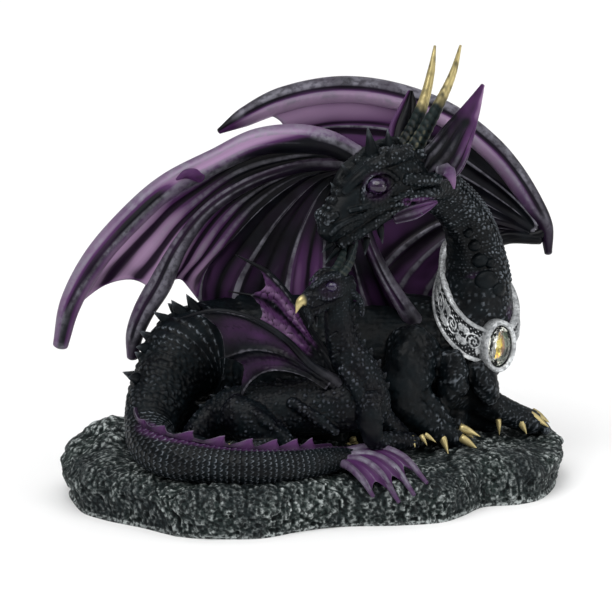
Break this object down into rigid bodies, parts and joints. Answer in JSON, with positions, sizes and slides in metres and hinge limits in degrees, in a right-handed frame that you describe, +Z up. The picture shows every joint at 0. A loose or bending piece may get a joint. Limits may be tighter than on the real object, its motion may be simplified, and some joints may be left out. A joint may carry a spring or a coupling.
{
  "type": "dragon statue",
  "caption": "Cast resin dragon statue: a winged mother dragon with a jewelled collar lies curled round her hatchling on a rock base.",
  "frame": {"origin": "middle of the rock's flat underside", "axes": "+X to the right of the front view, the longest side; +Z up; the front view looks along +Y"},
  "size_m": [0.2088, 0.1314, 0.1823],
  "materials": {
    "rock": "cast resin painted grey green, dry-brushed light grey",
    "dragon_skin": "cast resin painted blue black, silver dry-brush on the scales, gold claws and horns, silver collar",
    "wing_skin": "cast resin painted black with pearl purple skins and lilac bones",
    "hatchling_skin": "cast resin painted blue black with silver dry-brush, purple wings, gold beak and claws",
    "stone": "clear faceted oval stone, yellow green with a pink glint"
  },
  "bodies": {
    "root": {"rock_base": "rock", "mother_dragon": "dragon_skin", "near_wing": "wing_skin", "far_wing": "wing_skin", "hatchling": "hatchling_skin", "gem": "stone"}
  },
  "joints": []
}
